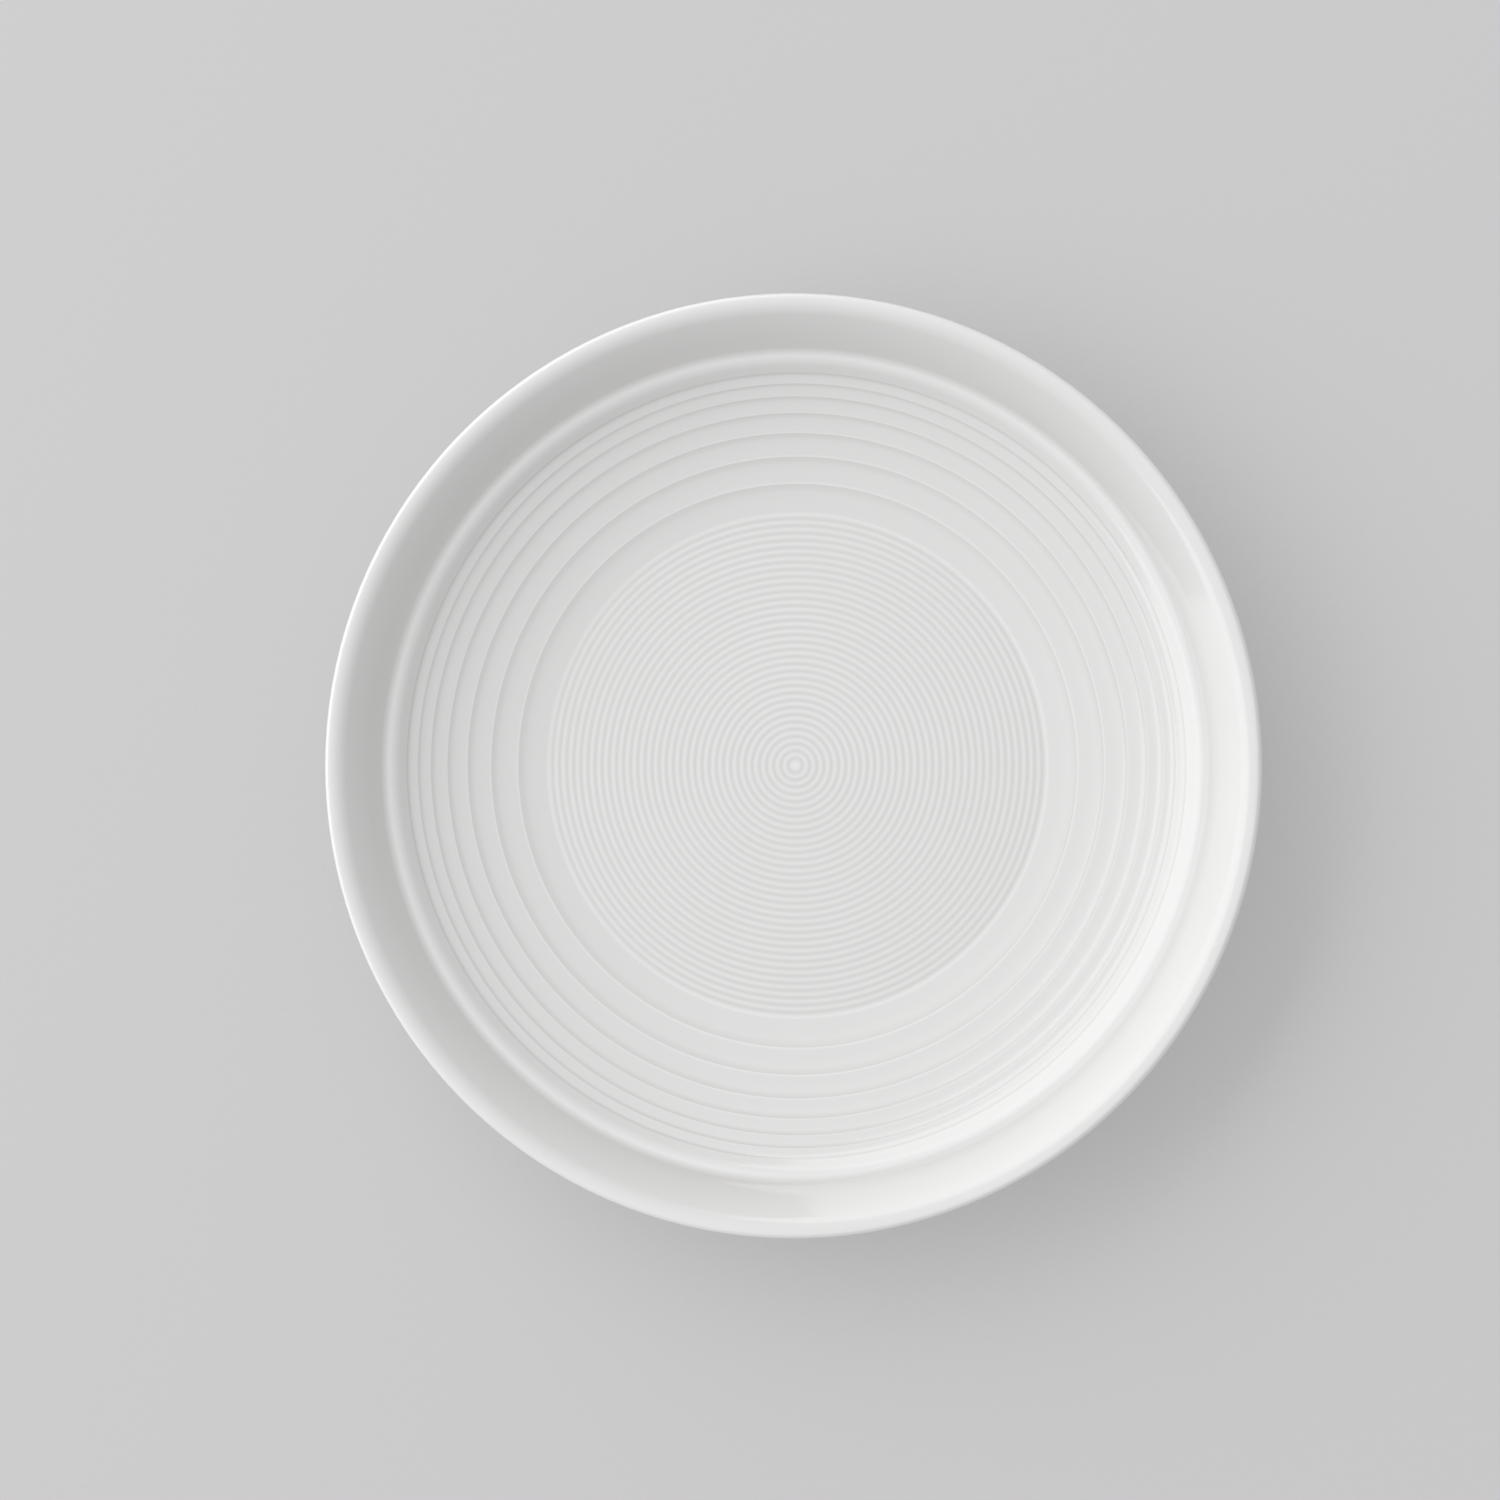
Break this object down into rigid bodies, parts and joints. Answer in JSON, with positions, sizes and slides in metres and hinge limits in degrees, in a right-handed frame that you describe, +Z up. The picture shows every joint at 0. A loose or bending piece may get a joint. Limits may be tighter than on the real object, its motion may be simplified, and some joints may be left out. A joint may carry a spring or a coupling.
{
  "type": "flat plate",
  "caption": "Round white glazed porcelain dinner plate with a ringed well, a steep wall, a rounded lip and a foot ring, for serving food.",
  "frame": {"origin": "centre of the foot ring's ground face, on the plate's axis", "axes": "+Z up along the plate's axis, out of the well; +X and +Y lie in the ground face, and the plate is the same all round"},
  "size_m": [0.26, 0.26, 0.029],
  "materials": {
    "porcelain": "fired white clay, left bare and ground smooth under the foot",
    "glaze": "clear glossy glaze over white clay"
  },
  "bodies": {
    "root": {"porcelain_body": "porcelain", "face_glaze": "glaze", "base_glaze": "glaze"}
  },
  "joints": []
}
